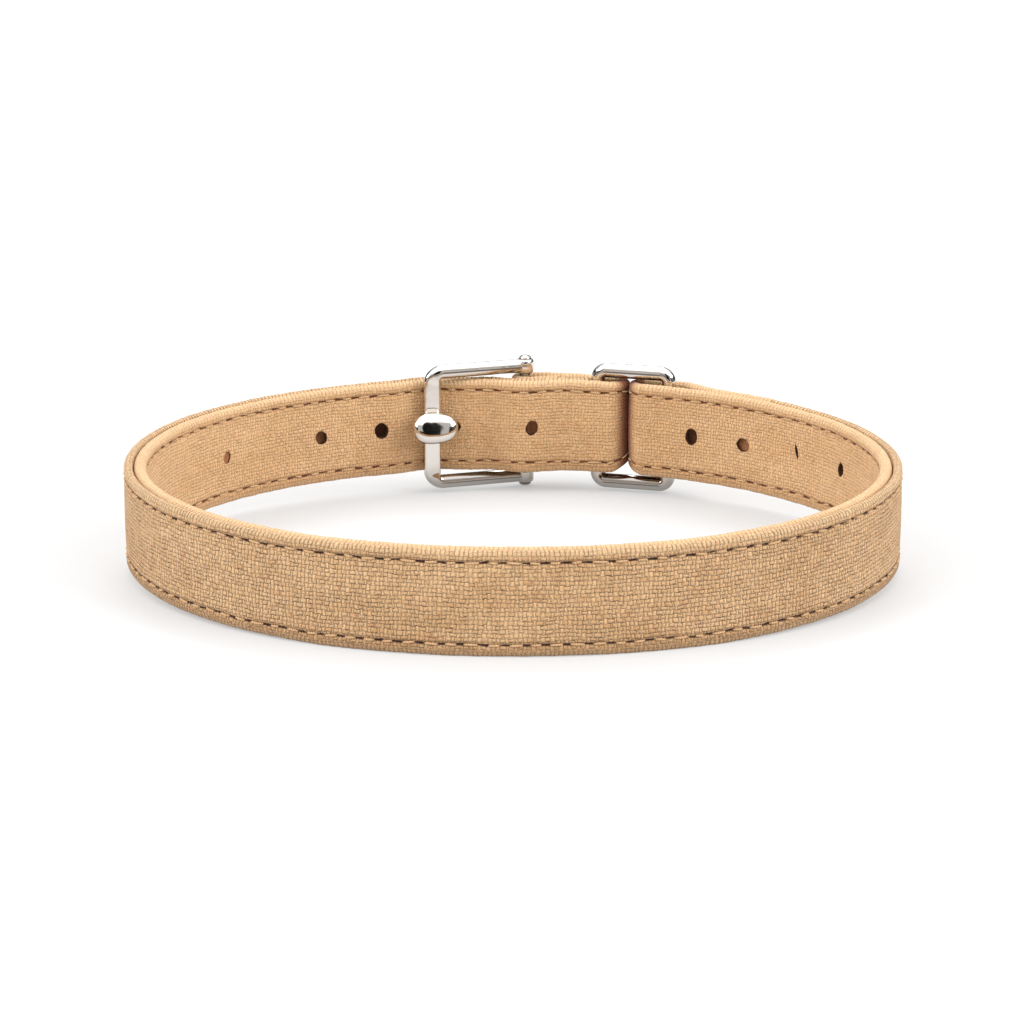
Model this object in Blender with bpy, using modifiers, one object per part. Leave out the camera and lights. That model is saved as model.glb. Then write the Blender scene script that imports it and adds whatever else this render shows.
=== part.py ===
"""Small canvas dog collar: two sewn strap layers, a heel-bar buckle with a ball-tipped prong, and a square ring.

The collar stands on the lower edge of its strap, buckle at the back (+Y), with the buckle's face turned into
the loop. Units are metres, +Z is up. The origin is the bottom centre of the whole collar.
"""
import math

import bmesh
import bpy
import numpy as np
from mathutils import Matrix, Vector

# Strap
STRAP_WIDTH = 0.0170
OUTER_LAYER = 0.0015
INNER_LAYER = 0.0020
SKIVED_LAYER = 0.0012          # the inner layer where it is thinned to wrap the heel pin
LAYER_EDGE = 0.0004            # rounding of a layer's four long edges
GAP = 0.0003                   # kept between neighbouring pieces
STRAP = OUTER_LAYER + GAP + INNER_LAYER

# Loop in plan, measured on the strap's outer face
LOOP_HALF_WIDTH = 0.0653
LOOP_HALF_DEPTH = 0.0516
LOOP_TURN = math.radians(-1.0)
CREASE_ANGLE = math.radians(71.7)   # where the strap's two folds meet inside the ring
RESTING_SHARE = 0.88                # share of the half depth in front of which the strap lies flat on its edge

# Square ring
RING_WIDTH = 0.0159
RING_WIRE = 0.0026
RING_ROOM = 0.00055            # between the strap's edges and the ring's upper and lower bars
RING_CORNER = 0.0016
RING_SHIFT = 0.0008            # the ring sits this far right of the crease
FOLD_PINCH = 0.08              # share of its half width by which a fold's tip draws its lower edge up

# Buckle
PIN_FROM_CREASE = 0.0194
FRAME_LENGTH = 0.0177          # pin axis to front bar axis, along the strap
FRAME_WIRE = 0.0025
FRAME_ROOM = 0.00055           # between the strap's edges and the frame's arms
FRAME_CORNER = 0.0021
BAR_WIDTH = 0.00305
BAR_THICKNESS = 0.0018
PIN_WIRE = 0.0020
SPIGOT_WIRE = 0.0014
EYE_WIDTH = 0.0032
EYE_HEIGHT = 0.0027
PIN_HEAD = 0.0026
PIN_HEAD_HEIGHT = 0.00035
PRONG_WIRE = 0.0019
PRONG_EYE_WIRE = 0.0012
TIP_LENGTH = 0.0084
TIP_HEIGHT = 0.0057
TIP_DEPTH = 0.0036
TIP_SHIFT = 0.0001             # the ball's middle, back from the front bar's axis
TIP_RISE = 0.0006              # and above the frame's middle

# Punched holes
HOLE_DIAMETER = 0.0027
HOLE_PITCH = 0.0120
PRONG_HOLE_LENGTH = 0.0038

# Where the strap gives way to the buckle: pushed out behind the front bar, drawn in before the pin
PUSH_AT_BAR = 0.0014
DRAW_AT_PIN = -0.0020
GIVE_REACH = 0.0085

# Lengths of the turned-back ends
TAIL = 0.0200                  # past the ring's right bar, on the outer face
WRAP_TAIL = 0.0060             # past the pin, between the pin and the strap
SKIVE_RUN = 0.0060

STATION_STEP = 0.0038          # spacing of the strap's sections
ARC_STEPS = 8                  # sections in half a turn

# Places along the strap: distance from the crease, leftward as the camera sees the back, in hole pitches.
# size is the hole's diameter as a share of HOLE_DIAMETER; tall is its height over its width; up is how far it
# sits above the strap's middle, as a share of the strap's width.
HOLES = [
    {"pitches": 1.49, "size": 0.90, "tall": 1.15, "up": 0.0},
    {"pitches": 3.92, "size": 1.00, "tall": 1.05, "up": 0.0},
    {"pitches": 4.94, "size": 0.90, "tall": 1.00, "up": 0.0},
    {"pitches": 6.74, "size": 0.70, "tall": 1.10, "up": 0.0},
    {"pitches": -1.12, "size": 0.95, "tall": 1.15, "up": 0.0},
    {"pitches": -2.04, "size": 0.95, "tall": 1.00, "up": 0.0},
    {"pitches": -3.11, "size": 0.75, "tall": 1.25, "up": 0.07},
    {"pitches": -4.19, "size": 0.80, "tall": 1.10, "up": 0.05},
]
PRONG_CROSSING = 0.80         # where the prong goes through the strap, as a share of the frame's length

# The prong's middle, from its eye to its tip: along is a share of the frame's length from the pin, out is
# measured from the strap's outer face in strap thicknesses (so -1 is the inner face).
PRONG_PATH = [
    {"along": 0.22, "out": 0.92},
    {"along": 0.42, "out": 0.72},
    {"along": 0.58, "out": 0.58},
    {"along": 0.72, "out": 0.38},
    {"along": 0.785, "out": -0.05},
    {"along": 0.81, "out": -0.60},
    {"along": 0.835, "out": -1.15},
    {"along": 0.88, "out": -1.58},
]

PARTS = {
    "canvas_outer": {"colour": (0.56, 0.335, 0.175), "roughness": 0.9, "metallic": 0.0},
    "canvas_inner": {"colour": (0.60, 0.37, 0.20), "roughness": 0.9, "metallic": 0.0},
    "frame_steel": {"colour": (0.72, 0.70, 0.69), "roughness": 0.12, "metallic": 1.0},
    "pin_steel": {"colour": (0.66, 0.65, 0.65), "roughness": 0.18, "metallic": 1.0},
    "prong_steel": {"colour": (0.75, 0.74, 0.74), "roughness": 0.10, "metallic": 1.0},
    "ring_steel": {"colour": (0.70, 0.69, 0.69), "roughness": 0.12, "metallic": 1.0},
}


class Loop:
    """The strap's outer face in plan, as places a distance s from the crease, going left round the loop."""

    def __init__(self, samples=7200):
        turn = np.linspace(0.0, 2 * math.pi, samples + 1) + CREASE_ANGLE
        x = LOOP_HALF_WIDTH * np.cos(turn)
        y = LOOP_HALF_DEPTH * np.sin(turn)
        c, w = math.cos(LOOP_TURN), math.sin(LOOP_TURN)
        self.x = c * x - w * y
        self.y = w * x + c * y
        steps = np.hypot(np.diff(self.x), np.diff(self.y))
        self.s = np.concatenate([[0.0], np.cumsum(steps)])
        self.length = float(self.s[-1])

    def point(self, s):
        s = s % self.length
        return Vector((float(np.interp(s, self.s, self.x)), float(np.interp(s, self.s, self.y))))

    def left(self, s, reach=0.0002):
        """The unit direction of growing s."""
        return (self.point(s + reach) - self.point(s - reach)).normalized()

    def out(self, s):
        """The unit direction away from the loop's middle."""
        left = self.left(s)
        return Vector((left.y, -left.x))

    def place(self, s, out=0.0):
        return self.point(s) + self.out(s) * out


LOOP = Loop()
RING_S = -RING_SHIFT
PIN_S = PIN_FROM_CREASE
BAR_S = PIN_S + FRAME_LENGTH
PRONG_HOLE_S = PIN_S + PRONG_CROSSING * FRAME_LENGTH

# Levels measured outwards from the strap's undisturbed outer face
CAVITY = RING_WIRE / 2 + GAP                       # radius of the fold's inner face
FOLD = CAVITY + INNER_LAYER                        # radius of its outer face
RING_OUT = CAVITY - OUTER_LAYER - GAP
PIN_CAVITY = PIN_WIRE / 2 + GAP
PIN_OUT = DRAW_AT_PIN + GAP + SKIVED_LAYER + PIN_CAVITY
BAR_OUT = PUSH_AT_BAR - STRAP - GAP - BAR_THICKNESS / 2
TIP_OUT = BAR_OUT - BAR_THICKNESS / 2 - GAP - TIP_DEPTH / 2

RING_HEIGHT = STRAP_WIDTH + 2 * (RING_ROOM + RING_WIRE)
RING_DROP = RING_ROOM - GAP                        # it hangs from its upper bar
ARM_RISE = STRAP_WIDTH / 2 + FRAME_ROOM + FRAME_WIRE / 2
PIN_SEAT = ARM_RISE + EYE_HEIGHT / 2 + GAP
PIN_REACH = PIN_SEAT + PIN_HEAD_HEIGHT
BACK_Z = max(RING_HEIGHT / 2 + RING_DROP, PIN_REACH)   # middle of the buckle and of the strap at the back
BACK_LIFT = BACK_Z - STRAP_WIDTH / 2


def give(s):
    """How far the strap is pushed out (+) or drawn in (-) at s by the buckle."""
    total = 0.0
    for centre, amount in ((BAR_S, PUSH_AT_BAR), (PIN_S, DRAW_AT_PIN)):
        away = abs(s - centre) / GIVE_REACH
        if away < 1.0:
            total += amount * 0.5 * (1 + math.cos(math.pi * away))
    return total


def lift(s):
    """Height of the strap's lower edge: flat on the surface in front, rising evenly to the ring."""
    y = LOOP.point(s).y
    start = -RESTING_SHARE * LOOP_HALF_DEPTH
    top = LOOP.point(RING_S).y
    return BACK_LIFT * max(0.0, (y - start) / (top - start))


def middle_z(s):
    return lift(s) + STRAP_WIDTH / 2


def smooth(share):
    share = min(1.0, max(0.0, share))
    return share * share * (3 - 2 * share)


# Each section of a layer: core is the plan point on the face that touches the hardware or the other layer,
# away the direction through the layer, thick its thickness, half its half width and z its middle height.
def section(core, away, thick, z, half=STRAP_WIDTH / 2):
    return {"core": core, "away": away, "thick": thick, "half": half, "z": z}


def along(first, last, out_of, away_sign, thick_of):
    """Sections at even steps from first to last, at level out_of(s)."""
    count = max(2, round(abs(last - first) / STATION_STEP))
    rows = []
    for i in range(count + 1):
        s = first + (last - first) * i / count
        rows.append(section(LOOP.place(s, out_of(s)), LOOP.out(s) * away_sign, thick_of(s), middle_z(s)))
    return rows


def half_turn(s, out, radius, thick, start, sweep, pinch=0.0):
    """Sections round a half circle of the given inner radius. Angles are from leftward, towards outward."""
    centre, left, outward = LOOP.place(s, out), LOOP.left(s), LOOP.out(s)
    rows = []
    for i in range(1, ARC_STEPS):
        angle = start + sweep * i / ARC_STEPS
        away = left * math.cos(angle) + outward * math.sin(angle)
        drawn_up = STRAP_WIDTH / 2 * pinch * math.sin(math.pi * i / ARC_STEPS) ** 2
        rows.append(section(centre + away * radius, away, thick, middle_z(s) + drawn_up, STRAP_WIDTH / 2 - drawn_up))
    return rows


def inner_layer_sections():
    """From the wrap round the heel pin, behind the strap, round the ring's left bar and all round the loop."""
    left_fold = FOLD + 0.00007
    right_fold = LOOP.length - left_fold
    outer_back = RING_OUT + CAVITY
    skived_from = PIN_S - PIN_CAVITY - SKIVE_RUN

    def wrap_thick(s):
        return SKIVED_LAYER

    def return_thick(s):
        return SKIVED_LAYER + (INNER_LAYER - SKIVED_LAYER) * smooth((PIN_S - s) / (PIN_S - skived_from))

    def return_out(s):
        share = smooth((PIN_S - s) / (PIN_S - left_fold))
        return PIN_OUT + PIN_CAVITY + (outer_back - PIN_OUT - PIN_CAVITY) * share

    def visible_out(s):
        return give(s) - OUTER_LAYER - GAP

    def tail_out(s):
        bar = RING_S - RING_WIDTH / 2
        closing = smooth((bar - (s - LOOP.length)) / 0.009)
        return outer_back + (-OUTER_LAYER - outer_back) * closing

    def full(s):
        return INNER_LAYER

    def wrap_out(s):
        return give(s) + GAP + SKIVED_LAYER

    rows = along(PIN_S - WRAP_TAIL, PIN_S, wrap_out, -1, wrap_thick)
    rows += half_turn(PIN_S, PIN_OUT, PIN_CAVITY, SKIVED_LAYER, -math.pi / 2, math.pi)
    rows += along(PIN_S, left_fold, return_out, 1, return_thick)
    rows += half_turn(left_fold, RING_OUT, CAVITY, INNER_LAYER, math.pi / 2, math.pi, FOLD_PINCH)
    rows += along(left_fold, right_fold, visible_out, -1, full)
    rows += half_turn(right_fold, RING_OUT, CAVITY, INNER_LAYER, -math.pi / 2, math.pi, FOLD_PINCH)
    rows += along(right_fold, tail_end(), tail_out, 1, full)
    return rows


def tail_end():
    """Where the turned-back end of the inner layer stops on the outer face, and the outer layer begins."""
    return LOOP.length + RING_S - RING_WIDTH / 2 - TAIL


def outer_layer_sections():
    """Between the turned-back end and the ring's left bar, all round the outside."""
    first = RING_S + RING_WIDTH / 2 + GAP
    last = tail_end() - GAP
    return along(first, last, lambda s: give(s) - OUTER_LAYER, 1, lambda s: OUTER_LAYER)


def section_outline(row):
    """A rounded rectangle, as points in space."""
    r = LAYER_EDGE
    corners = (
        (row["thick"] - r, row["half"] - r, 0.0),
        (r, row["half"] - r, math.pi / 2),
        (r, r - row["half"], math.pi),
        (row["thick"] - r, r - row["half"], 3 * math.pi / 2),
    )
    points = []
    for across, up, start in corners:
        for step in range(3):
            angle = start + step * math.pi / 4
            plan = row["core"] + row["away"] * (across + r * math.cos(angle))
            points.append(Vector((plan.x, plan.y, row["z"] + up + r * math.sin(angle))))
    return points


def loft(name, outlines, closed_path=False):
    """A closed mesh skinned through outlines that have the same number of points."""
    mesh = bpy.data.meshes.new(name)
    bm = bmesh.new()
    rings = [[bm.verts.new(p) for p in outline] for outline in outlines]
    sides = len(rings[0])
    spans = list(zip(rings, rings[1:]))
    if closed_path:
        spans.append((rings[-1], rings[0]))
    for near, far in spans:
        for i in range(sides):
            j = (i + 1) % sides
            bm.faces.new((near[i], near[j], far[j], far[i]))
    if not closed_path:
        bm.faces.new(list(reversed(rings[0])))
        bm.faces.new(rings[-1])
    bmesh.ops.recalc_face_normals(bm, faces=bm.faces)
    bm.to_mesh(mesh)
    bm.free()
    return mesh


def material(name):
    look = PARTS[name]
    made = bpy.data.materials.new(name)
    made.use_nodes = True
    shader = made.node_tree.nodes["Principled BSDF"]
    shader.inputs["Base Color"].default_value = (*look["colour"], 1.0)
    shader.inputs["Roughness"].default_value = look["roughness"]
    shader.inputs["Metallic"].default_value = look["metallic"]
    return made


def add(name, mesh, collection, parent=None, look=None, helper=False):
    obj = bpy.data.objects.new(name, mesh)
    collection.objects.link(obj)
    obj.parent = parent
    if look:
        mesh.materials.append(material(look))
        mesh.shade_smooth()
        mesh.set_sharp_from_angle(angle=math.radians(35))
    if helper:
        obj.hide_render = True
        obj.display_type = "WIRE"
    return obj


def boolean(obj, other, operation="DIFFERENCE"):
    change = obj.modifiers.new(operation.title(), "BOOLEAN")
    change.operation = operation
    change.solver = "EXACT"
    change.object = other


def upright_frame(s, out, z):
    """A matrix at a place on the strap: X leftward, Y up, Z outward."""
    left, outward, place = LOOP.left(s), LOOP.out(s), LOOP.place(s, out)
    turn = Matrix(((left.x, 0.0, outward.x), (left.y, 0.0, outward.y), (0.0, 1.0, 0.0)))
    return Matrix.Translation((place.x, place.y, z)) @ turn.to_4x4()


def cylinder(bm, radius_x, radius_y, low, high, matrix, segments):
    """An elliptical cylinder from low to high along the matrix's Z."""
    shape = matrix @ Matrix.Translation((0, 0, (low + high) / 2)) @ Matrix.Diagonal((radius_x, radius_y, 1, 1))
    bmesh.ops.create_cone(
        bm, cap_ends=True, segments=segments, radius1=1.0, radius2=1.0, depth=high - low, matrix=shape
    )


def mesh_of(name, bm):
    bmesh.ops.recalc_face_normals(bm, faces=bm.faces)
    mesh = bpy.data.meshes.new(name)
    bm.to_mesh(mesh)
    bm.free()
    return mesh


def hole_punch():
    """All the strap's holes as cylinders through both layers, and the prong's longer one."""
    bm = bmesh.new()
    for hole in HOLES:
        s = hole["pitches"] * HOLE_PITCH
        radius = hole["size"] * HOLE_DIAMETER / 2
        matrix = upright_frame(s, give(s), middle_z(s) + hole["up"] * STRAP_WIDTH)
        cylinder(bm, radius, radius * hole["tall"], -STRAP - 0.001, GAP / 2, matrix, 14)
    matrix = upright_frame(PRONG_HOLE_S, give(PRONG_HOLE_S), BACK_Z)
    half_length, half_height = PRONG_HOLE_LENGTH / 2, PRONG_WIRE / 2 + GAP
    cylinder(bm, half_length, half_height, -STRAP - 0.001, 0.001, matrix, 16)
    return mesh_of("hole_punch", bm)


def prong_slot():
    """The slot in the wrap that leaves room for the prong's eye."""
    bm = bmesh.new()
    low = DRAW_AT_PIN + GAP / 2 - PIN_OUT
    high = PIN_CAVITY + INNER_LAYER + 0.001
    reach = PIN_CAVITY + SKIVED_LAYER + 0.001
    matrix = upright_frame(PIN_S, PIN_OUT, BACK_Z)
    size = Matrix.Diagonal((2 * reach, PRONG_WIRE + 2 * GAP, high - low, 1))
    bmesh.ops.create_cube(bm, size=1.0, matrix=matrix @ Matrix.Translation((0, 0, (high + low) / 2)) @ size)
    return mesh_of("prong_slot", bm)


def superellipse(centre, across, through, half_across, half_through, power, sides):
    points = []
    for i in range(sides):
        angle = 2 * math.pi * (i + 0.5) / sides
        c, s = math.cos(angle), math.sin(angle)
        u = half_across * math.copysign(abs(c) ** (2 / power), c)
        v = half_through * math.copysign(abs(s) ** (2 / power), s)
        points.append(centre + across * u + through * v)
    return points


def frame_route():
    """The buckle frame's middle line in its own plane: (distance left of the pin, height from the middle)."""
    bend = FRAME_LENGTH - FRAME_CORNER
    straight = ARM_RISE - FRAME_CORNER
    upper = [(0.0, ARM_RISE), (bend / 2, ARM_RISE), (bend, ARM_RISE)]
    for i in range(1, 7):
        angle = math.pi / 2 * (1 - i / 6)
        upper.append((bend + FRAME_CORNER * math.cos(angle), straight + FRAME_CORNER * math.sin(angle)))
    upper.append((FRAME_LENGTH, straight / 2))
    lower = [(along_it, -up) for along_it, up in reversed(upper)]
    return upper + [(FRAME_LENGTH, 0.0)] + lower


def frame_mesh():
    """A bent bar: straight round arms from behind the strap to a flat front bar lying on its inner face."""
    route = frame_route()
    pin, bar = LOOP.place(PIN_S, PIN_OUT), LOOP.place(BAR_S, BAR_OUT)
    points = []
    for along_it, up in route:
        plan = pin.lerp(bar, along_it / FRAME_LENGTH)
        points.append(Vector((plan.x, plan.y, BACK_Z + up)))
    outlines = []
    for i, ((along_it, up), centre) in enumerate(zip(route, points)):
        ahead = points[min(i + 1, len(points) - 1)] - points[max(i - 1, 0)]
        outward = LOOP.out(PIN_S + along_it)
        through = Vector((outward.x, outward.y, 0.0))
        through = (through - ahead.normalized() * through.dot(ahead.normalized())).normalized()
        across = ahead.normalized().cross(through)
        flat = smooth((ARM_RISE - abs(up)) / FRAME_CORNER)
        half_across = (FRAME_WIRE + (BAR_WIDTH - FRAME_WIRE) * flat) / 2
        half_through = (FRAME_WIRE + (BAR_THICKNESS - FRAME_WIRE) * flat) / 2
        outlines.append(superellipse(centre, across, through, half_across, half_through, 2 + 2 * flat, 14))
    return loft("buckle_frame", outlines)


def frame_eyes(radius, half_height, name):
    """Short upright cylinders at both ends of the frame, solid or as the bore through them."""
    bm = bmesh.new()
    plan = LOOP.place(PIN_S, PIN_OUT)
    for side in (-1, 1):
        z = BACK_Z + side * ARM_RISE
        cylinder(bm, radius, radius, -half_height, half_height, Matrix.Translation((plan.x, plan.y, z)), 18)
    return mesh_of(name, bm)


def pin_profile():
    """Half of the heel pin's outline, from its middle up: (radius, height)."""
    shoulder = ARM_RISE - EYE_HEIGHT / 2 - GAP
    return [
        (PIN_WIRE / 2, shoulder),
        (SPIGOT_WIRE / 2, shoulder),
        (SPIGOT_WIRE / 2, PIN_SEAT),
        (PIN_HEAD / 2, PIN_SEAT),
        (PIN_HEAD / 2, PIN_SEAT + PIN_HEAD_HEIGHT * 0.35),
        (PIN_HEAD / 2 * 0.80, PIN_SEAT + PIN_HEAD_HEIGHT * 0.80),
        (PIN_HEAD / 2 * 0.45, PIN_REACH),
    ]


def heel_pin(collection, parent):
    """A turned pin with a riveted head past each arm: half the profile mirrored, then screwed round."""
    upper = pin_profile()
    outline = [(0.0, upper[-1][1])] + list(reversed(upper)) + [(r, -z) for r, z in upper] + [(0.0, -upper[-1][1])]
    mesh = bpy.data.meshes.new("heel_pin")
    points = [(r, 0.0, z) for r, z in outline]
    mesh.from_pydata(points, [(i, i + 1) for i in range(len(points) - 1)], [])
    obj = bpy.data.objects.new("heel_pin", mesh)
    collection.objects.link(obj)
    obj.parent = parent
    plan = LOOP.place(PIN_S, PIN_OUT)
    obj.location = (plan.x, plan.y, BACK_Z)
    mesh.materials.append(material("pin_steel"))
    turn = obj.modifiers.new("Turn", "SCREW")
    turn.axis = "Z"
    turn.steps = 16
    turn.render_steps = 16
    turn.use_merge_vertices = True
    turn.merge_threshold = 0.00001
    turn.use_normal_calculate = True
    turn.use_smooth_shade = True
    return obj


def prong_mesh():
    """An eye round the pin, a shank that crosses the strap through its hole, and a slimmer neck at the tip."""
    z = BACK_Z
    left, outward, pin = LOOP.left(PIN_S), LOOP.out(PIN_S), LOOP.place(PIN_S, PIN_OUT)
    radius = PIN_CAVITY + PRONG_EYE_WIRE / 2
    route = []
    for i in range(11):
        angle = math.radians(-200 + 290 * i / 10)
        plan = pin + left * (radius * math.cos(angle)) + outward * (radius * math.sin(angle))
        route.append((Vector((plan.x, plan.y, z)), PRONG_EYE_WIRE / 2))
    for row in PRONG_PATH:
        plan = LOOP.place(PIN_S + row["along"] * FRAME_LENGTH, row["out"] * STRAP)
        route.append((Vector((plan.x, plan.y, z)), PRONG_WIRE / 2))
    plan = LOOP.place(BAR_S, TIP_OUT)
    route.append((Vector((plan.x, plan.y, z)), PRONG_WIRE / 2 * 0.8))
    up = Vector((0.0, 0.0, 1.0))
    outlines = []
    for i, (centre, half) in enumerate(route):
        ahead = (route[min(i + 1, len(route) - 1)][0] - route[max(i - 1, 0)][0]).normalized()
        outlines.append(superellipse(centre, ahead.cross(up).normalized(), up, half, PRONG_WIRE / 2, 2, 10))
    return loft("prong", outlines)


def prong_tip_mesh():
    bm = bmesh.new()
    bmesh.ops.create_uvsphere(bm, u_segments=18, v_segments=12, radius=1.0)
    size = Matrix.Diagonal((TIP_LENGTH / 2, TIP_HEIGHT / 2, TIP_DEPTH / 2, 1))
    matrix = upright_frame(BAR_S - TIP_SHIFT, TIP_OUT, BACK_Z + TIP_RISE)
    bmesh.ops.transform(bm, matrix=matrix @ size, verts=bm.verts)
    return mesh_of("prong_tip", bm)


def ring_frame():
    """The ring's own frame: its plane holds the middles of both side bars in the strap's folds."""
    reach = (RING_WIDTH - RING_WIRE) / 2
    bars = (LOOP.point(RING_S + reach) + LOOP.point(RING_S - reach)) / 2
    bow = (LOOP.point(RING_S) - bars).dot(LOOP.out(RING_S))
    return upright_frame(RING_S, RING_OUT - bow, BACK_Z - RING_DROP)


def ring_mesh():
    """A closed wire bent to a rounded rectangle, standing in the plane that its two side bars share."""
    half_width = RING_WIDTH / 2 - RING_WIRE / 2
    half_height = RING_HEIGHT / 2 - RING_WIRE / 2
    route = []
    for side, up, start in ((1, 1, 0), (-1, 1, 90), (-1, -1, 180), (1, -1, 270)):
        centre = (side * (half_width - RING_CORNER), up * (half_height - RING_CORNER))
        for i in range(6):
            angle = math.radians(start + 18 * i)
            route.append((centre[0] + RING_CORNER * math.cos(angle), centre[1] + RING_CORNER * math.sin(angle)))
    matrix = ring_frame()
    through = (matrix.to_3x3() @ Vector((0, 0, 1))).normalized()
    outlines = []
    for i, (x, y) in enumerate(route):
        before, after = route[i - 1], route[(i + 1) % len(route)]
        ahead = (matrix.to_3x3() @ Vector((after[0] - before[0], after[1] - before[1], 0))).normalized()
        centre = matrix @ Vector((x, y, 0))
        across = ahead.cross(through).normalized()
        outlines.append(superellipse(centre, across, through, RING_WIRE / 2, RING_WIRE / 2, 2, 12))
    return loft("square_ring", outlines, closed_path=True)


def clear_scene():
    for obj in list(bpy.data.objects):
        bpy.data.objects.remove(obj, do_unlink=True)


def main():
    clear_scene()
    parts = bpy.data.collections.new("dog_collar")
    cutters = bpy.data.collections.new("cutters")
    cutters.hide_render = True
    for collection in (parts, cutters):
        bpy.context.scene.collection.children.link(collection)

    outlines = [section_outline(row) for row in inner_layer_sections()]
    extent = [p for outline in outlines for p in outline]
    outer = [section_outline(row) for row in outer_layer_sections()]
    extent += [p for outline in outer for p in outline]
    middle_x = (min(p.x for p in extent) + max(p.x for p in extent)) / 2
    middle_y = (min(p.y for p in extent) + max(p.y for p in extent)) / 2
    origin = bpy.data.objects.new("collar_origin", None)
    parts.objects.link(origin)
    origin.location = (-middle_x, -middle_y, 0.0)

    punch = add("hole_punch", hole_punch(), cutters, origin, helper=True)
    slot = add("prong_slot", prong_slot(), cutters, origin, helper=True)
    inner = add("strap_inner_layer", loft("strap_inner_layer", outlines), parts, origin, "canvas_inner")
    boolean(inner, punch)
    boolean(inner, slot)
    cover = add("strap_outer_layer", loft("strap_outer_layer", outer), parts, origin, "canvas_outer")
    boolean(cover, punch)

    eyes = add("frame_eyes", frame_eyes(EYE_WIDTH / 2, EYE_HEIGHT / 2, "frame_eyes"), cutters, origin, helper=True)
    bores = frame_eyes(SPIGOT_WIRE / 2 + GAP, FRAME_WIRE, "frame_bores")
    bore = add("frame_bores", bores, cutters, origin, helper=True)
    buckle = add("buckle_frame", frame_mesh(), parts, origin, "frame_steel")
    boolean(buckle, eyes, "UNION")
    boolean(buckle, bore)

    heel_pin(parts, origin)
    tip = add("prong_tip", prong_tip_mesh(), cutters, origin, helper=True)
    prong = add("prong", prong_mesh(), parts, origin, "prong_steel")
    boolean(prong, tip, "UNION")
    add("square_ring", ring_mesh(), parts, origin, "ring_steel")


main()
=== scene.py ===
"""Looks of the canvas dog collar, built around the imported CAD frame.

The two strap layers are rebuilt as fine lofts with puffed rims, stitch channels and cut holes, and the
hardware as smooth lofts. Everything follows the same named sizes as the CAD source. Lengths are metres, and
millimetres where named so.
"""
import random
from math import copysign, cos, hypot, pi, radians, sin

import bmesh
import bpy
import numpy as np
from mathutils import Matrix, Vector


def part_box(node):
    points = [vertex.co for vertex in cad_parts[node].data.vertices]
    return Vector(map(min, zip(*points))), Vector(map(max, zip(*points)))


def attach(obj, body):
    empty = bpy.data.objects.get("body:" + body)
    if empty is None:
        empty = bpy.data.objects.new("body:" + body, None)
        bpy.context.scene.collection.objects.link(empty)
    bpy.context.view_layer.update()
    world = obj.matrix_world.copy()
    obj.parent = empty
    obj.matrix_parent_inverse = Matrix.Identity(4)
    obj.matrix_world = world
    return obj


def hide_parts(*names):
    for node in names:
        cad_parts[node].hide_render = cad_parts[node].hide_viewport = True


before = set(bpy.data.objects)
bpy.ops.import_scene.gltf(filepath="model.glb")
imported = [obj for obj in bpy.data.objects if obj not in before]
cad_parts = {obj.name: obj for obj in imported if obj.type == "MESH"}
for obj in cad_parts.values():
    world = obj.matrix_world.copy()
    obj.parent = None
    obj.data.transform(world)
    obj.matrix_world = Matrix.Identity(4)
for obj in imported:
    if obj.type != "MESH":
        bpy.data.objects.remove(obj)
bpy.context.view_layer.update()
MM = 0.001

# Strap, as in the CAD source
STRAP_WIDTH = 0.0170
OUTER_LAYER = 0.0015
INNER_LAYER = 0.0020
SKIVED_LAYER = 0.0012
GAP = 0.0003
STRAP = OUTER_LAYER + GAP + INNER_LAYER
LOOP_HALF_WIDTH = 0.0653
LOOP_HALF_DEPTH = 0.0516
LOOP_TURN = radians(-1.0)
CREASE_ANGLE = radians(71.7)
RESTING_SHARE = 0.88

# Ring and buckle, as in the CAD source
RING_WIDTH = 0.0159
RING_WIRE = 0.0026
RING_ROOM = 0.00055
RING_CORNER = 0.0016
RING_SHIFT = 0.0008
FOLD_PINCH = 0.08
FOLD_PRESS = 0.00004
PIN_FROM_CREASE = 0.0194
FRAME_LENGTH = 0.0177
FRAME_WIRE = 0.0025
FRAME_ROOM = 0.00055
FRAME_CORNER = 0.0021
BAR_WIDTH = 0.00305
BAR_THICKNESS = 0.0018
PIN_WIRE = 0.0020
SPIGOT_WIRE = 0.0014
EYE_WIDTH = 0.0032
EYE_HEIGHT = 0.0027
EYE_LIP = 0.0006
PIN_HEAD = 0.0022
PIN_HEAD_HEIGHT = 0.00035
HEAD_ROOM = 0.00003
PRONG_WIRE = 0.0019
PRONG_EYE_WIRE = 0.0012
TIP_LENGTH = 0.0084
TIP_HEIGHT = 0.0057
TIP_DEPTH = 0.0036
TIP_SHIFT = 0.0001
TIP_RISE = 0.0006
TIP_TILT = radians(20)
TIP_POWER = 2.8  # roundness of the ball's profile, 2 being a sphere's
TIP_EGG = 0.10  # how much plumper one end is
TIP_BLUNT = 0.80  # below 1, its ends are blunter
HOLE_DIAMETER = 0.0027
HOLE_PITCH = 0.0120
PRONG_HOLE_LENGTH = 0.0038
PUSH_AT_BAR = 0.0014
DRAW_AT_PIN = -0.0020
GIVE_REACH = 0.0085
TAIL = 0.0200
TAIL_CLOSING = 0.009
WRAP_TAIL = 0.0060
SKIVE_RUN = 0.0060

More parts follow.
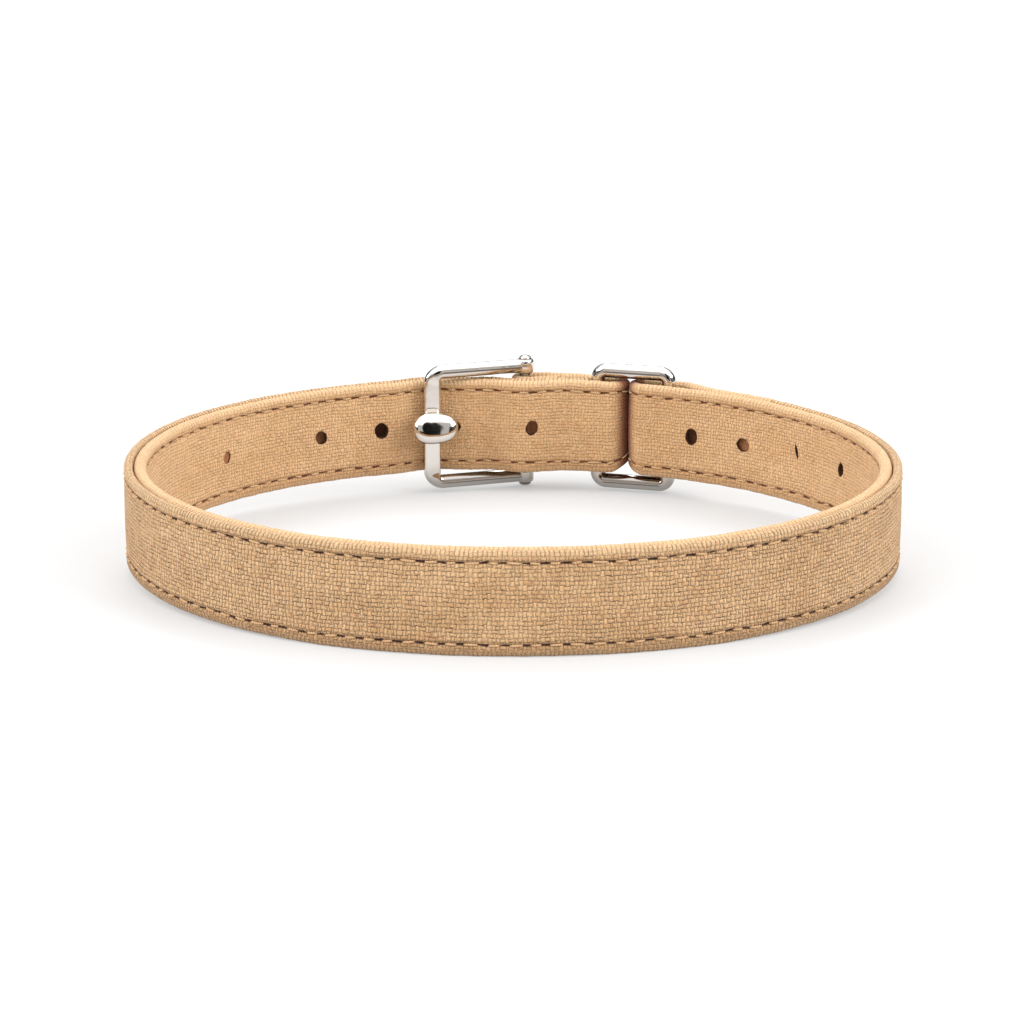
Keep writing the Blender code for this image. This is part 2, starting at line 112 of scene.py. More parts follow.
# Holes. The first four columns are the CAD source's. wide is how much of its width a hole still shows, lean
# its tilt in degrees, deep how far in frayed cloth fills it, and lit_share how much painted light lifts that
# cloth's painted shade
HOLE_COLUMNS = ("pitches", "size", "tall", "up", "wide", "lean", "deep", "lit_share")
HOLES = [dict(zip(HOLE_COLUMNS, row)) for row in (
    (1.49, 0.90, 1.15, 0.0, 0.90, 4, 0.0012, 0.75),
    (3.92, 1.00, 1.05, 0.0, 1.00, 0, 0.0019, 0.0),
    (4.94, 0.90, 1.00, 0.0, 0.95, -8, 0.0011, 0.5),
    (6.74, 0.70, 1.10, 0.0, 0.85, 10, 0.00022, 1.0),
    (-1.12, 0.95, 1.15, 0.0, 0.95, 0, 0.0016, 0.3),
    (-2.04, 0.95, 1.00, 0.0, 1.00, 0, 0.0009, 0.9),
    (-3.11, 0.75, 1.25, 0.07, 0.30, -16, 0.0008, 0.2),
    (-4.19, 0.80, 1.10, 0.05, 0.80, 6, 0.0016, 0.1),
)]

# The prong's way from its eye to the front bar: along in frame lengths, out in straps
PRONG_CROSSING = 0.80
PRONG_PATH = [dict(zip(("along", "out"), row)) for row in (
    (0.22, 0.92), (0.42, 0.72), (0.58, 0.58), (0.72, 0.38),
    (0.785, -0.05), (0.81, -0.60), (0.835, -1.15), (0.88, -1.58),
)]

# Sewing, seen on both faces
STITCH_MARGIN = 0.0019  # stitch line to the strap's edge
STITCH_PITCH = 0.0033
STITCH_WANDER = 0.00008
CHANNEL_WIDTH = 0.00045
SLIT_HALF_LENGTH = 0.00108  # the slit that the thread pulls open round each needle mark, dented and painted with shade
SLIT_HEIGHT = 0.00027
SHADE_LINE_RISE = 0.00016  # a painted shadow line, dented a little, runs this far above the thread
SHADE_LINE_WIDTH = 0.00012
SHADE_LINE_DEPTH = 0.56  # as a share of a slit's

# Each layer's cloth: the depths of its channels and slits, its rims' puff, its thread's radius, the run
# without thread at its hidden end, the levels that its holes are cut between, and the seeds of its unevenness
OUTER = {"channel": 0.00014, "slit": 0.00030, "puff": 0.00012, "thread": 0.00020, "unsewn": 0.0,
         "hole_levels": (INNER_LAYER - STRAP - 0.0001, 0.001),
         "seed": 100, "thread_seed": 7, "hole_seed": 5}
INNER = {"channel": 0.00012, "slit": 0.00022, "puff": 0.00010, "thread": 0.00016, "unsewn": 0.0135,
         "hole_levels": (-STRAP - 0.001, -OUTER_LAYER - 0.0001),
         "seed": 200, "thread_seed": 8, "hole_seed": 9}
STEP = 0.00026  # between the fine sections along the strap
SINK = 0.00010  # how far a face lies below the solid's before it is crowned and puffed
CROWN = 0.00010  # how far a face's middle stands out
WAVE = 0.00008  # how far a face rises and falls along the strap
HIDDEN_SINK = -0.00008  # a layer's hidden side, from the solid's
RIM_REACH = 0.0010  # how far in from the edge a layer's rim is rounded
PUFF_REACH = 0.0006
RIM_RIB = 0.00005
RIM_WAVE = 0.00006

# Colours, scene linear
# Painted shade where the two folds press together in the crease
CREASE_SHADE_BROWN = (0.170, 0.034, 0.005)
THREAD_TAN = ((0.36, 0.20, 0.090), (0.66, 0.43, 0.24))
# Hole walls and the frayed cloth in them: dark brown painted shade, and a lighter brown as painted light
# where a hole is shallow
HOLE_SHADE_BROWN = (0.13, 0.050, 0.020)
HOLE_LIT_BROWN = (0.46, 0.19, 0.075)
HOLE_SHADE = (0.02, 0.008, 0.004)
STEEL = (0.76, 0.71, 0.66)

# The two weaves. float_mm and row_mm are a long yarn's visible length and width, relief_mm its height, and
# gaps is how dark the painted shade in the spaces between yarns is
OUTER_WEAVE = {
    "float_mm": 1.40, "row_mm": 0.70, "relief_mm": 0.58, "gaps": 1.0, "seed": 11.0,
    "dark": (0.120, 0.050, 0.018), "mid": (0.56, 0.315, 0.142),
    "light": (0.86, 0.560, 0.305), "cream": (0.75, 0.52, 0.30),
}
INNER_WEAVE = {
    "float_mm": 1.15, "row_mm": 0.60, "relief_mm": 0.25, "gaps": 0.72, "seed": 47.0,
    "dark": (0.26, 0.125, 0.050), "mid": (0.57, 0.323, 0.148),
    "light": (0.74, 0.470, 0.250), "cream": (0.70, 0.50, 0.30),
}
RIB_MM = 0.74  # one rib of a rim's overcast edge

# Plating: seed sets its wipe marks, and line how dark its painted reflection line and its painted shade near
# the floor are
BAR_PLATING = {"name": "plating", "roughness": 0.07, "seed": 3.0, "line": 0.85}
PIN_PLATING = {"name": "pin_plating", "roughness": 0.10, "seed": 7.0, "line": 0.85}
BALL_PLATING = {"name": "ball_plating", "roughness": 0.06, "seed": 5.0, "line": 0.0}

# Camera, from the fit to the photograph's outline
PHOTO = 1024
FOCAL_PX = 3294.0
CAMERA_DISTANCE = 0.557
CAMERA_ELEVATION = radians(15.5)
CAMERA_AIM_HEIGHT = 0.008
CENTRE_PX = (512.8, 518.7)


# The floor, and lights far off. A light's azimuth, from +X, its height above the floor and its width are in
# degrees
FLOOR_ALBEDO = 0.385
FLOOR_GLOW = 0.365
FLOOR_REACH = 3.0
FLOOR_Z = -0.00002
WORLD_LIGHT = 0.62
SUNS = [
    {"name": "overhead", "azimuth": 270, "height": 84, "wide": 100, "strength": 1.95},
    {"name": "from_behind", "azimuth": 90, "height": 50, "wide": 28, "strength": 0.95},
    {"name": "from_left", "azimuth": 198, "height": 25, "wide": 40, "strength": 1.95},
    {"name": "from_right", "azimuth": 342, "height": 25, "wide": 40, "strength": 2.1},
]

# Dark cards that the metal reflects
CARD_BAND = {"radius": 0.85, "first": radians(-50.4), "last": radians(230.4),
             "low": 0.015, "high": 0.36, "shade": 0.03}
CARD_LOW = {"half_width": 0.30, "y": -0.60, "low": 0.01, "high": 0.15, "shade": 0.01}
CARD_SPOT = {"x": 0.130, "y": -0.61, "z": 0.30, "half_width": 0.19, "half_height": 0.28, "shade": 0.01}


# The loop


class Loop:
    """The strap's outer face in plan, as places a distance s from the crease, going left round the loop."""

    def __init__(self, samples=14400):
        turn = np.linspace(0.0, 2 * pi, samples + 1) + CREASE_ANGLE
        x = LOOP_HALF_WIDTH * np.cos(turn)
        y = LOOP_HALF_DEPTH * np.sin(turn)
        c, w = cos(LOOP_TURN), sin(LOOP_TURN)
        self.x = c * x - w * y
        self.y = w * x + c * y
        steps = np.hypot(np.diff(self.x), np.diff(self.y))
        self.s = np.concatenate([[0.0], np.cumsum(steps)])
        self.length = float(self.s[-1])
        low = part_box("strap_outer_layer")[0]
        self.shift = Vector((low.x - float(self.x.min()), low.y - float(self.y.min())))

    def raw(self, s):
        s = s % self.length
        return Vector((float(np.interp(s, self.s, self.x)), float(np.interp(s, self.s, self.y))))

    def left(self, s, reach=0.0002):
        return (self.raw(s + reach) - self.raw(s - reach)).normalized()

    def out(self, s):
        left = self.left(s)
        return Vector((left.y, -left.x))

    def place(self, s, out=0.0):
        return self.raw(s) + self.out(s) * out + self.shift


LOOP = Loop()
RING_S = -RING_SHIFT
PIN_S = PIN_FROM_CREASE
BAR_S = PIN_S + FRAME_LENGTH
PRONG_HOLE_S = PIN_S + PRONG_CROSSING * FRAME_LENGTH
CAVITY = RING_WIRE / 2 + GAP
FOLD = CAVITY + INNER_LAYER
RING_OUT = CAVITY - OUTER_LAYER - GAP
PIN_CAVITY = PIN_WIRE / 2 + GAP
PIN_OUT = DRAW_AT_PIN + GAP + SKIVED_LAYER + PIN_CAVITY
BAR_OUT = PUSH_AT_BAR - STRAP - GAP - BAR_THICKNESS / 2
TIP_OUT = BAR_OUT - BAR_THICKNESS / 2 - GAP - TIP_DEPTH / 2
RING_HEIGHT = STRAP_WIDTH + 2 * (RING_ROOM + RING_WIRE)
RING_DROP = RING_ROOM - GAP
ARM_RISE = STRAP_WIDTH / 2 + FRAME_ROOM + FRAME_WIRE / 2
PIN_REACH = ARM_RISE + EYE_HEIGHT / 2 + GAP + PIN_HEAD_HEIGHT
BACK_Z = max(RING_HEIGHT / 2 + RING_DROP, PIN_REACH)
BACK_LIFT = BACK_Z - STRAP_WIDTH / 2


def smooth(share):
    share = min(1.0, max(0.0, share))
    return share * share * (3 - 2 * share)


def give(s):
    total = 0.0
    for centre, amount in ((BAR_S, PUSH_AT_BAR), (PIN_S, DRAW_AT_PIN)):
        away = abs(s - centre) / GIVE_REACH
        if away < 1.0:
            total += amount * 0.5 * (1 + cos(pi * away))
    return total


def lift(s):
    y = LOOP.raw(s).y
    start = -RESTING_SHARE * LOOP_HALF_DEPTH
    top = LOOP.raw(RING_S).y
    return BACK_LIFT * max(0.0, (y - start) / (top - start))


def middle_z(s):
    return lift(s) + STRAP_WIDTH / 2


def upright_frame(s, out, z):
    left, outward, place = LOOP.left(s), LOOP.out(s), LOOP.place(s, out)
    turn = Matrix(((left.x, 0.0, outward.x), (left.y, 0.0, outward.y), (0.0, 1.0, 0.0)))
    return Matrix.Translation((place.x, place.y, z)) @ turn.to_4x4()


# Sections of the strap: the CAD's own route, in finer steps. run is the distance travelled along the layer.


def section(core, away, thick, z, half=STRAP_WIDTH / 2):
    return {"core": core, "away": away, "thick": thick, "half": half, "z": z}


def along(first, last, out_of, away_sign, thick_of):
    count = max(2, round(abs(last - first) / STEP))
    rows = []
    for i in range(count + 1):
        s = first + (last - first) * i / count
        rows.append(section(LOOP.place(s, out_of(s)), LOOP.out(s) * away_sign, thick_of(s), middle_z(s)))
    return rows


def half_turn(s, out, radius, thick, start, sweep, pinch=0.0):
    centre, left, outward = LOOP.place(s, out), LOOP.left(s), LOOP.out(s)
    count = max(8, round(pi * (radius + thick) / STEP))
    rows = []
    for i in range(1, count):
        angle = start + sweep * i / count
        away = left * cos(angle) + outward * sin(angle)
        drawn_up = STRAP_WIDTH / 2 * pinch * sin(pi * i / count) ** 2
        row = section(centre + away * radius, away, thick, middle_z(s) + drawn_up, STRAP_WIDTH / 2 - drawn_up)
        # crease: how much painted shade darkens the fold, most at its tip
        row["crease"] = sin(pi * i / count) ** 2 if pinch else 0.0
        rows.append(row)
    return rows


def tail_end():
    return LOOP.length + RING_S - RING_WIDTH / 2 - TAIL


def inner_layer_sections():
    left_fold = FOLD - FOLD_PRESS
    right_fold = LOOP.length - left_fold
    outer_back = RING_OUT + CAVITY
    skived_from = PIN_S - PIN_CAVITY - SKIVE_RUN

    def return_thick(s):
        return SKIVED_LAYER + (INNER_LAYER - SKIVED_LAYER) * smooth((PIN_S - s) / (PIN_S - skived_from))

    def return_out(s):
        share = smooth((PIN_S - s) / (PIN_S - left_fold))
        return PIN_OUT + PIN_CAVITY + (outer_back - PIN_OUT - PIN_CAVITY) * share

    def tail_out(s):
        bar = RING_S - RING_WIDTH / 2
        closing = smooth((bar - (s - LOOP.length)) / TAIL_CLOSING)
        return outer_back + (-OUTER_LAYER - outer_back) * closing

    rows = along(PIN_S - WRAP_TAIL, PIN_S, lambda s: give(s) + GAP + SKIVED_LAYER, -1, lambda s: SKIVED_LAYER)
    rows += half_turn(PIN_S, PIN_OUT, PIN_CAVITY, SKIVED_LAYER, -pi / 2, pi)
    rows += along(PIN_S, left_fold, return_out, 1, return_thick)
    rows += half_turn(left_fold, RING_OUT, CAVITY, INNER_LAYER, pi / 2, pi, FOLD_PINCH)
    rows += along(left_fold, right_fold, lambda s: give(s) - OUTER_LAYER - GAP, -1, lambda s: INNER_LAYER)
    rows += half_turn(right_fold, RING_OUT, CAVITY, INNER_LAYER, -pi / 2, pi, FOLD_PINCH)
    rows += along(right_fold, tail_end(), tail_out, 1, lambda s: INNER_LAYER)
    return with_runs(rows)


def outer_layer_sections():
    first = RING_S + RING_WIDTH / 2 + GAP
    last = tail_end() - GAP
    return with_runs(along(first, last, lambda s: give(s) - OUTER_LAYER, 1, lambda s: OUTER_LAYER))


def with_runs(rows):
    run = 0.0
    before = rows[0]
    for row in rows:
        middle = row["core"] + row["away"] * row["thick"]
        run += (middle - (before["core"] + before["away"] * before["thick"])).length
        row["run"] = run
        before = row
    return rows


# Fine strap meshes


def rough(values, seed, steps):
    """Smooth random numbers in -1 to 1 along an array of places, one knot per steps units."""
    rng = np.random.default_rng(seed)
    places = np.asarray(values) / steps
    knots = rng.uniform(-1, 1, int(places.max()) + 3)
    low = np.floor(places).astype(int)
    share = places - low
    share = share * share * (3 - 2 * share)
    return knots[low] * (1 - share) + knots[low + 1] * share


def stitch_places(length, seed):
    """Where the needle went in along a stitch line, with the small unevenness of real sewing."""
    rng = np.random.default_rng(seed)
    count = int((length - 0.003) / STITCH_PITCH)
    start = (length - count * STITCH_PITCH) / 2
    return start + STITCH_PITCH * (np.arange(count + 1) + rng.uniform(-0.10, 0.10, count + 1))


def face_heights():
    """Heights up a layer's face, as shares of its flat half height, dense at the stitch channels."""
    middle = list(np.linspace(-0.74, 0.74, 15))
    channel = list(np.linspace(0.775, 0.975, 9))
    return [-h for h in reversed(channel)] + middle + channel


def columns(rows, name):
    """One value of each section, as a column that broadcasts over heights."""
    return np.array([row[name] for row in rows])[:, None]


def stitch_marks(up, side, layer):
    """(channel, slit) at heights up, for the stitch line on that side of a layer. The slit takes in the
    painted shadow line above the thread.
    """
    run, half = layer["run"], layer["half"]
    lines, wander = layer["lines"][side], layer["wander"][side]
    middle = side * (STRAP_WIDTH / 2 - STITCH_MARGIN) * half / (STRAP_WIDTH / 2) + wander[:, None]
    offsets = run[:, None] - lines[None, :]
    which = np.abs(offsets).argmin(axis=1)
    nearest = offsets[np.arange(len(run)), which][:, None]
    longer, taller, slope = (layer["uneven"][side][n][which][:, None] for n in range(3))
    channel = np.exp(-((up - middle) / CHANNEL_WIDTH) ** 2)
    reach = SLIT_HALF_LENGTH * (1 + 0.22 * longer)
    taper = SLIT_HEIGHT * (1 + 0.25 * taller) * (0.78 + 0.42 * nearest / reach)
    off = up - middle - slope * (0.00006 + 0.12 * nearest)
    slit = np.exp(-((off / taper) ** 2) - (nearest / reach) ** 4)
    shade_line = np.exp(-(((up - middle - SHADE_LINE_RISE) / SHADE_LINE_WIDTH) ** 2))
    return channel, np.maximum(slit, SHADE_LINE_DEPTH * shade_line)


def layer_outline(rows, look, layer):
    """The points round a layer's section as arrays over (section, point): across, height, pit and rim.

    They run up the face, over the top rim, down the hidden side and under the lower rim."""
    run, half, thick = layer["run"], layer["half"], columns(rows, "thick")
    flat = half - RIM_REACH
    shares = np.array(face_heights())[None, :]
    up = shares * flat
    channel, pit = (a + b for a, b in zip(stitch_marks(up, 1, layer), stitch_marks(up, -1, layer)))
    arched = 1 - shares**2
    puff = look["puff"] * np.exp(-(((np.abs(up) - flat) / PUFF_REACH) ** 2))
    wave = rough(run, look["seed"] + 5, 0.006)[:, None] * arched * WAVE
    face = thick + CROWN * arched + puff + wave - look["channel"] * channel - look["slit"] * pit - SINK

    angles = np.linspace(0, pi, 9)[None, 1:-1]
    edge_high = thick + look["puff"] - SINK
    mid, reach = (HIDDEN_SINK + edge_high) / 2, (edge_high - HIDDEN_SINK) / 2
    rim = mid + reach * np.cos(angles)
    rib = rough(run, look["seed"] + 7, 0.0007)[:, None] * RIM_RIB
    rim_up = {}
    for side in (1, -1):
        bulge = RIM_REACH + rib + rough(run, look["seed"] + 8 + side, 0.009)[:, None] * RIM_WAVE
        rim_up[side] = np.maximum(side * (flat + bulge * np.sin(angles) ** 0.85), -half)
    hidden_up = flat * np.linspace(1.0, -1.0, 9)[None, :]
    hidden = np.full_like(hidden_up, HIDDEN_SINK)

    across = np.hstack([face, rim, hidden, rim[:, ::-1]])
    height = np.hstack([up, rim_up[1], hidden_up, rim_up[-1][:, ::-1]])
    pits = np.hstack([pit, np.zeros((len(run), across.shape[1] - pit.shape[1]))])
    rims = np.hstack([0 * face, 1 + 0 * rim, 0 * hidden, 1 + 0 * rim])
    return across, height, pits, rims


def weave_map(mesh, run, across, height, i, j, k):
    """The UV map "weave": millimetres along and round the layer, for the quads and then the two end caps."""
    middle_across, middle_height = np.median(across, axis=0), np.median(height, axis=0)
    steps = np.hypot(np.diff(middle_across), np.diff(middle_height))
    u, v = run / MM, np.concatenate([[0.0], np.cumsum(steps)]) / MM
    closing = float(np.hypot(*(np.median(a[:, 0] - a[:, -1]) for a in (across, height)))) / MM
    near, far = u[i.reshape(-1)], u[(i + 1).reshape(-1)]
    low = v[j.reshape(-1)]
    high = np.where(k.reshape(-1) == 0, v[-1] + closing, v[k.reshape(-1)])
    corners = ((near, low), (near, high), (far, high), (far, low))
    quads = np.stack([np.stack(corner, axis=1) for corner in corners], axis=1)
    caps = np.zeros((2 * across.shape[1], 2))
    caps[:, 0] = np.tile(height[0] / MM, 2)
    spots = np.concatenate([quads.reshape(-1, 2), caps]).astype(np.float32)
    mesh.uv_layers.new(name="weave").data.foreach_set("uv", spots.reshape(-1))


def write_values(mesh, name, values):
    values = np.asarray(values, dtype=np.float32)
    mesh.attributes.new(name, "FLOAT", "POINT").data.foreach_set("value", values)


def strap_mesh(name, rows, look):
    """A layer with a crowned face, a sewn channel near each edge, puffed rims and a flat hidden side.

    "pit" is 1 in a needle's slit and in the fine line above its thread, both dented and painted with shade,
    "rim" is 1 on a rim, "under" is 1 on the lower rim, which is painted with shade, and "crease" is 1 where
    two folds press together and shade is painted. Returns the mesh and what the thread has to follow."""
    run = np.array([row["run"] for row in rows])
    seed = look["seed"]
    sides = (1, -1)
    lines = {side: stitch_places(run[-1], seed + side) for side in sides}
    wander = {side: rough(run, seed + 10 + side, 0.004) * STITCH_WANDER for side in sides}
    rng = np.random.default_rng(seed + 20)
    uneven = {side: rng.uniform(-1, 1, (3, len(lines[side]))) for side in sides}
    layer = {"run": run, "half": columns(rows, "half"), "lines": lines, "wander": wander, "uneven": uneven}
    across, height, pits, rims = layer_outline(rows, look, layer)

    count, around = across.shape
    points = np.zeros((count, around, 3))
    core, away = (np.array([row[key] for row in rows])[:, None, :] for key in ("core", "away"))
    points[:, :, :2] = core + away * across[:, :, None]
    points[:, :, 2] = columns(rows, "z") + height
    i, j = np.meshgrid(np.arange(count - 1), np.arange(around), indexing="ij")
    k = (j + 1) % around
    quads = np.stack([i * around + j, i * around + k, (i + 1) * around + k, (i + 1) * around + j], axis=-1)
    faces = [tuple(q) for q in quads.reshape(-1, 4).tolist()]
    faces.append(tuple(range(around))[::-1])
    faces.append(tuple((count - 1) * around + n for n in range(around)))
    mesh = bpy.data.meshes.new(name)
    mesh.from_pydata(points.reshape(-1, 3).tolist(), [], faces)

    weave_map(mesh, run, across, height, i, j, k)
    # How far a point lies down the lower rim, where shade is painted
    lowness = -np.median(height, axis=0) / np.median(layer["half"] - RIM_REACH) * 4 - 3
    write_values(mesh, "pit", pits.reshape(-1))
    write_values(mesh, "rim", rims.reshape(-1))
    write_values(mesh, "crease", np.repeat([row.get("crease", 0.0) for row in rows], around))
    write_values(mesh, "under", np.tile(np.clip(lowness, 0, 1), count))
    bm = bmesh.new()
    bm.from_mesh(mesh)
    bmesh.ops.recalc_face_normals(bm, faces=bm.faces)
    bm.to_mesh(mesh)
    bm.free()
    mesh.shade_smooth()
    return mesh, lines, wander


# Node graphs written as arithmetic


def math_method(operation, swapped=False):
    """A Field's method that makes a Math node. swapped puts the other value first."""

    def method(field, *other):
        values = (*other, field) if swapped else (field, *other)
        return field.graph.math(operation, *values)

    return method


class Field:
    """A socket that can be added, multiplied and so on, making Math nodes as it goes."""

    def __init__(self, graph, socket):
        self.graph = graph
        self.socket = socket

    __add__ = math_method("ADD")
    __radd__ = math_method("ADD", swapped=True)
    __sub__ = math_method("SUBTRACT")
    __rsub__ = math_method("SUBTRACT", swapped=True)
    __mul__ = math_method("MULTIPLY")
    __rmul__ = math_method("MULTIPLY", swapped=True)
    __truediv__ = math_method("DIVIDE")
    __pow__ = math_method("POWER")
    floor = math_method("FLOOR")
    fract = math_method("FRACT")
    absolute = math_method("ABSOLUTE")
    maximum = math_method("MAXIMUM")
    minimum = math_method("MINIMUM")

    def clamp(self):
        return self.graph.math("ADD", self, 0.0, clamp=True)

    def step(self, low, high):
        """0 below low, 1 above high, smooth between."""
        inputs = {"Value": self, "From Min": low, "From Max": high}
        return self.graph.field("Result", "ShaderNodeMapRange", inputs, interpolation_type="SMOOTHSTEP")


class Graph:
    """A new material with a Principled shader and helpers that add nodes to it."""

    def __init__(self, name):
        self.material = bpy.data.materials.new(name)
        self.material.use_nodes = True
        self.tree = self.material.node_tree
        self.shader = self.tree.nodes["Principled BSDF"]

    def put(self, value, socket):
        if isinstance(value, Field):
            self.tree.links.new(value.socket, socket)
        else:
            socket.default_value = value

    def node(self, kind, inputs=(), **settings):
        """A new node with its settings made, and its inputs, by name or number, set or linked."""
        made = self.tree.nodes.new(kind)
        for key, value in settings.items():
            setattr(made, key, value)
        for key, value in dict(inputs).items():
            self.put(value, made.inputs[key])
        return made

    def field(self, output, kind, inputs=(), **settings):
        return Field(self, self.node(kind, inputs, **settings).outputs[output])

    def math(self, operation, *values, clamp=False):
        return self.field(0, "ShaderNodeMath", enumerate(values), operation=operation, use_clamp=clamp)

    def vector(self, x, y, z):
        return self.field(0, "ShaderNodeCombineXYZ", {"X": x, "Y": y, "Z": z})

    def noise(self, vector, scale=1.0, detail=2.0, rough=0.5):
        inputs = {"Vector": vector, "Scale": scale, "Detail": detail, "Roughness": rough}
        return self.field("Fac", "ShaderNodeTexNoise", inputs)

    def random(self, x, y, z):
        """One random number from 0 to 1 for each cell."""
        return self.field("Value", "ShaderNodeTexWhiteNoise", {"Vector": self.vector(x, y, z)})

    def parts(self, vector):
        """The x, y and z of a vector."""
        return [Field(self, output) for output in self.node("ShaderNodeSeparateXYZ", {0: vector}).outputs]

    def uv(self):
        """(along, across) in millimetres."""
        return self.parts(self.field(0, "ShaderNodeUVMap", uv_map="weave"))[:2]

    def attribute(self, name):
        return self.field("Fac", "ShaderNodeAttribute", attribute_name=name)

    def object_point(self):
        return self.field("Object", "ShaderNodeTexCoord")

    def mix(self, share, first, second):
        """Two colours, or a colour and a field's colour, mixed by share."""
        first, second = ((*c, 1.0) if isinstance(c, tuple) else c for c in (first, second))
        return self.field(2, "ShaderNodeMix", {0: share, 6: first, 7: second}, data_type="RGBA")

    def bump(self, height_mm):
        inputs = {"Strength": 1.0, "Distance": MM, "Height": height_mm}
        self.put(self.field(0, "ShaderNodeBump", inputs), self.shader.inputs["Normal"])

    def set(self, **values):
        for key, value in values.items():
            self.put(value, self.shader.inputs[key.replace("_", " ")])


def tinted(colour, factors):
    return tuple(c * k for c, k in zip(colour, factors))


def arch(share, power=2.0):
    """0 at both ends of a share from 0 to 1, and 1 in its middle."""
    return 1.0 - (share * 2.0 - 1.0) ** power


def canvas(name, weave):
    """Plain-woven canvas: long floats along the strap and short crossing yarns, uneven as real yarn."""
    g = Graph(name)
    seed, relief = weave["seed"], weave["relief_mm"]
    dark, mid, light = weave["dark"], weave["mid"], weave["light"]
    u, v = g.uv()

    # Yarns that wander, then the cell of each float and its own luck
    near = g.vector(u * 1.3, v * 1.3, seed + 5.0)
    wide_u = g.noise(g.vector(u * 0.30, v * 0.30, seed))
    u2 = u + (wide_u - 0.5) * 0.9 + (g.noise(near) - 0.5) * 0.32
    wide_v = g.noise(g.vector(u * 0.20, v * 0.40, seed + 9.0))
    v2 = v + (wide_v - 0.5) * 1.0 + (g.noise(near, 1.6) - 0.5) * 0.34
    row = (v2 / weave["row_mm"]).floor()
    place = u2 / weave["float_mm"] + row * 0.5 + g.random(row, seed, 0.0) * 0.16
    column = place.floor()
    share = place.fract()
    length_luck, height_luck, gap_luck = (g.random(column, row, seed + n) for n in (1.0, 2.0, 6.0))

    # Relief: a float, then the crossing yarn in the rest of its cell, and ribs on the rims
    over = 0.66 + (length_luck - 0.5) * 0.30
    ridge = arch((v2 / weave["row_mm"]).fract())
    hump = arch((share / over).minimum(1.0), 4.0).clamp()
    float_height = (ridge * hump) ** 0.5 * (0.72 + 0.45 * height_luck)
    cross = arch(((share - over) / (1.0 - over)).clamp()).clamp()
    cross_height = cross**0.5 * (0.62 + 0.22 * ridge) * (0.75 + 0.30 * length_luck)
    yarns = float_height.maximum(cross_height)
    fibre = g.noise(g.vector(u2 * 2.6, v2 * 14.0, seed + 3.0), 1.0, 3.0, 0.65)
    fleck = g.noise(g.vector(u * 2.4, v * 4.2, seed + 12.0), 1.0, 4.0, 0.7)
    rim, pit, crease = g.attribute("rim"), g.attribute("pit"), g.attribute("crease")
    rib = arch((u2 / RIB_MM).fract())
    height = (yarns * (1.0 - rim) + (rib * 0.60 + yarns * 0.35) * rim) * relief
    g.bump(height + (fibre + fleck) * relief * 0.30)

    # Painted shade in the gaps below and beside a float, and between the ribs
    below = (1.0 - ridge.step(0.10, 0.66)) * hump.step(0.05, 0.40) * gap_luck.step(0.35, 0.60)
    ends = (1.0 - yarns.step(0.10, 0.55)) * (0.10 + 0.45 * length_luck)
    ribs = (1.0 - rib.step(0.05, 0.45)) * rim * 0.75
    gap_shade = (below.maximum(ends) * (1.0 - rim * 0.45)).maximum(ribs) * fleck.step(0.28, 0.52)

    # Colour of the yarns, some redder and some greyer, with worn rims
    patch = g.noise(g.vector(u * 0.07, v * 0.14, seed + 4.0), 1.0, 3.0)
    tone = 0.40 + (height_luck - 0.5) * 0.34 + (patch - 0.5) * 1.1 + (fibre - 0.5) * 1.4 + (fleck - 0.5) * 2.1
    tone = tone + cross * 0.22 * (share.step(0.6, 0.7)) + rim * 0.10
    yarn = g.mix(tone.clamp(), mid, light)
    yarn = g.mix(length_luck.step(0.84, 1.0) * 0.25, yarn, tinted(mid, (1.04, 0.84, 0.76)))
    yarn = g.mix(height_luck.step(0.86, 1.0) * 0.35, yarn, tinted(mid, (0.86, 0.92, 0.84)))
    yarn = g.mix((rim * (0.30 + 0.60 * fleck) * (0.25 + 0.75 * rib)).clamp(), yarn, weave["cream"])

    # Painted shade: in the gaps, on the lower rim, in the slits and, over it all, in the crease
    cloth = g.mix((gap_shade * weave["gaps"]).clamp(), yarn, dark)
    # Painted shade on the lower rim, which faces the floor
    cloth = g.mix(g.attribute("under") * 0.55, cloth, g.mix(0.5, dark, mid))
    # Painted shade in the needle slits and in the line above the thread
    cloth = g.mix(pit.step(0.30, 0.80), cloth, tinted(dark, (0.50, 0.30, 0.24)))
    cloth = g.mix(crease.step(0.04, 0.80) * 0.94, cloth, CREASE_SHADE_BROWN)
    g.set(Base_Color=cloth, Roughness=0.92 - yarns * 0.10)
    g.shader.inputs["Sheen Weight"].default_value = 0.12
    g.shader.inputs["Sheen Roughness"].default_value = 0.5
    g.shader.inputs["Specular IOR Level"].default_value = 0.18
    return g.material


def thread(name, dark, light):
    """Twisted sewing thread: slanting plies along the thread's own map, with painted shade in the grooves
    between them.
    """
    g = Graph(name)
    u, v = g.uv()
    ply = ((u * 2.6 + v).fract() * 2.0 - 1.0).absolute()
    speck = g.noise(g.object_point(), 2600.0, 2.0)
    g.bump((1.0 - ply**2.0) * 0.05 + speck * 0.02)
    # Lighter on each ply's crown and painted shade in the grooves
    g.set(Base_Color=g.mix(((1.0 - ply) * 0.7 + speck * 0.5).clamp(), dark, light), Roughness=0.75)
    g.shader.inputs["Specular IOR Level"].default_value = 0.3
    return g.material


def hole_wall(name):
    """Frayed cut cloth, painted dark brown as shade, and lighter, as painted light, as the attribute
    "lit_share" says.
    """
    g = Graph(name)
    fuzz = g.noise(g.object_point(), 4200.0, 3.0)
    g.bump(fuzz * 0.15)
    shade = g.mix(g.attribute("lit_share"), HOLE_SHADE_BROWN, HOLE_LIT_BROWN)
    g.set(Base_Color=g.mix(fuzz * 0.65, shade, HOLE_SHADE), Roughness=0.95)
    return g.material


